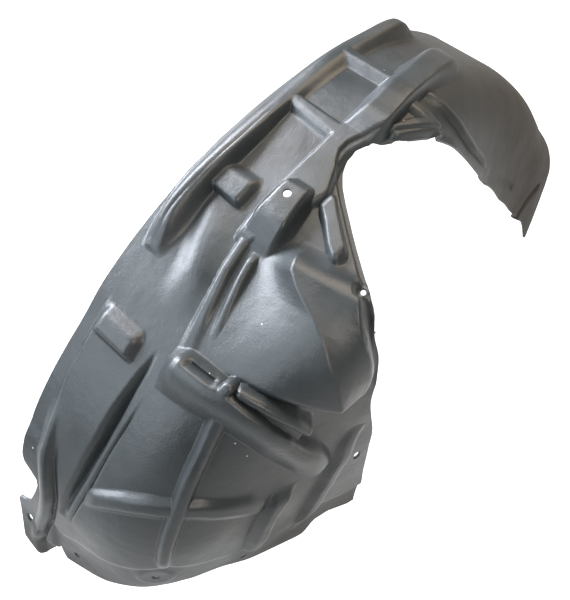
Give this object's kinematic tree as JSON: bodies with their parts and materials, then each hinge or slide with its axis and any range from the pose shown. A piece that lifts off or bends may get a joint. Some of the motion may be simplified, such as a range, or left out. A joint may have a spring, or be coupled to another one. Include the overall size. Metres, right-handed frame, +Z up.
{
  "type": "wheel arch liner",
  "caption": "Thermoformed wheel arch liner with a wide ribbed panel, an arched band with bead and cross ribs, an inboard cut-out and screw holes.",
  "frame": {"origin": "middle of the sheet in the lower outboard screw hole, near the lug", "axes": "+X along the car from the wide panel to the tip, +Y outboard toward the wheel opening, +Z up; the axle runs along Y"},
  "size_m": [0.6419, 0.1938, 0.3468],
  "materials": {
    "liner": "satin"
  },
  "bodies": {
    "root": {"liner": "liner"}
  },
  "joints": []
}
